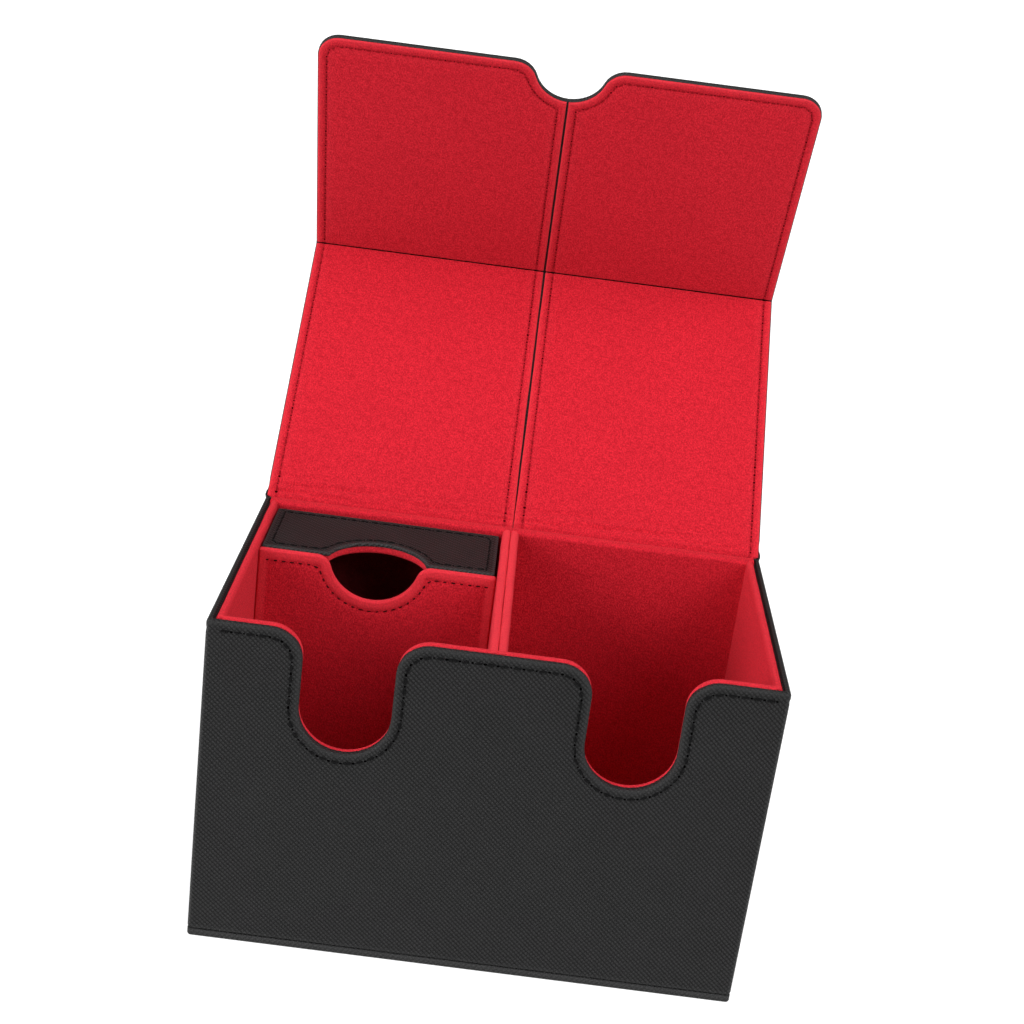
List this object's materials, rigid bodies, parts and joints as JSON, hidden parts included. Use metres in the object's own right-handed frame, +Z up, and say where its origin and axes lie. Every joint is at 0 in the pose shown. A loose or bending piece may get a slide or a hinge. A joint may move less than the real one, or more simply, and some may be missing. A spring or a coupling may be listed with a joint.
{
  "type": "card deck box",
  "caption": "Two-compartment card box in black leather with a red suede lining, split lids that fold over the front, finger notches and a lift-out tray with a cover.",
  "frame": {"origin": "centre of the base's resting face", "axes": "+X to the right seen from the front, +Y to the back, where the lids hinge, +Z up"},
  "size_m": [0.156, 0.1669, 0.2381],
  "materials": {
    "black_leather": "cross-grained imitation leather, satin",
    "red_suede": "napped microfibre suede",
    "grey_board": "plain grey book board",
    "magnet_nickel": "nickel-plated"
  },
  "bodies": {
    "case": {"back_board": "grey_board", "back_liner": "red_suede", "base_board": "grey_board", "base_leather": "black_leather", "front_board": "grey_board", "front_liner": "red_suede", "leather_wrap": "black_leather", "left_divider_panel": "red_suede", "left_floor_liner": "red_suede", "left_hinge_leather": "black_leather", "left_hinge_lining": "red_suede", "left_inner_case_magnet": "magnet_nickel", "left_outer_case_magnet": "magnet_nickel", "left_side_board": "grey_board", "left_side_liner": "red_suede", "right_divider_panel": "red_suede", "right_floor_liner": "red_suede", "right_hinge_leather": "black_leather", "right_hinge_lining": "red_suede", "right_inner_case_magnet": "magnet_nickel", "right_outer_case_magnet": "magnet_nickel", "right_side_board": "grey_board", "right_side_liner": "red_suede"},
    "left_lid": {"left_fold_leather": "black_leather", "left_lid_board": "grey_board", "left_lid_leather": "black_leather", "left_lid_lining": "red_suede"},
    "left_flap": {"left_flap_board": "grey_board", "left_flap_leather": "black_leather", "left_flap_lining": "red_suede", "left_inner_flap_magnet": "magnet_nickel", "left_outer_flap_magnet": "magnet_nickel"},
    "right_lid": {"right_fold_leather": "black_leather", "right_lid_board": "grey_board", "right_lid_leather": "black_leather", "right_lid_lining": "red_suede"},
    "right_flap": {"right_flap_board": "grey_board", "right_flap_leather": "black_leather", "right_flap_lining": "red_suede", "right_inner_flap_magnet": "magnet_nickel", "right_outer_flap_magnet": "magnet_nickel"},
    "tray": {"tray_back_panel": "red_suede", "tray_bottom_panel": "red_suede", "tray_leather": "black_leather", "tray_left_panel": "red_suede", "tray_right_panel": "red_suede", "tray_top_panel": "red_suede"},
    "tray_cover": {"cover_back_suede": "red_suede", "cover_board": "grey_board", "cover_front_suede": "red_suede"}
  },
  "joints": [
    {"name": "left_lid_hinge", "type": "hinge", "parent": "case", "child": "left_lid", "pos_m": [-0.03925, 0.046, 0.1003], "axis": [-1, 0, 0], "range_deg": [-138, 60], "deforming": ["left_hinge_leather", "left_hinge_lining"]},
    {"name": "left_flap_fold", "type": "hinge", "parent": "left_lid", "child": "left_flap", "pos_m": [-0.03925, 0.11771, 0.16487], "axis": [-1, 0, 0], "range_deg": [-18, 74.8], "deforming": ["left_fold_leather"]},
    {"name": "right_lid_hinge", "type": "hinge", "parent": "case", "child": "right_lid", "pos_m": [0.03925, 0.046, 0.1003], "axis": [-1, 0, 0], "range_deg": [-138, 60], "deforming": ["right_hinge_leather", "right_hinge_lining"]},
    {"name": "right_flap_fold", "type": "hinge", "parent": "right_lid", "child": "right_flap", "pos_m": [0.03925, 0.11771, 0.16487], "axis": [-1, 0, 0], "range_deg": [-18, 74.8], "deforming": ["right_fold_leather"]},
    {"name": "tray_lift", "type": "slide", "parent": "case", "child": "tray", "axis": [0, 0, 1], "range_m": [0, 0.095]},
    {"name": "cover_lift", "type": "slide", "parent": "case", "child": "tray_cover", "axis": [0, 0, 1], "range_m": [0, 0.095]}
  ]
}
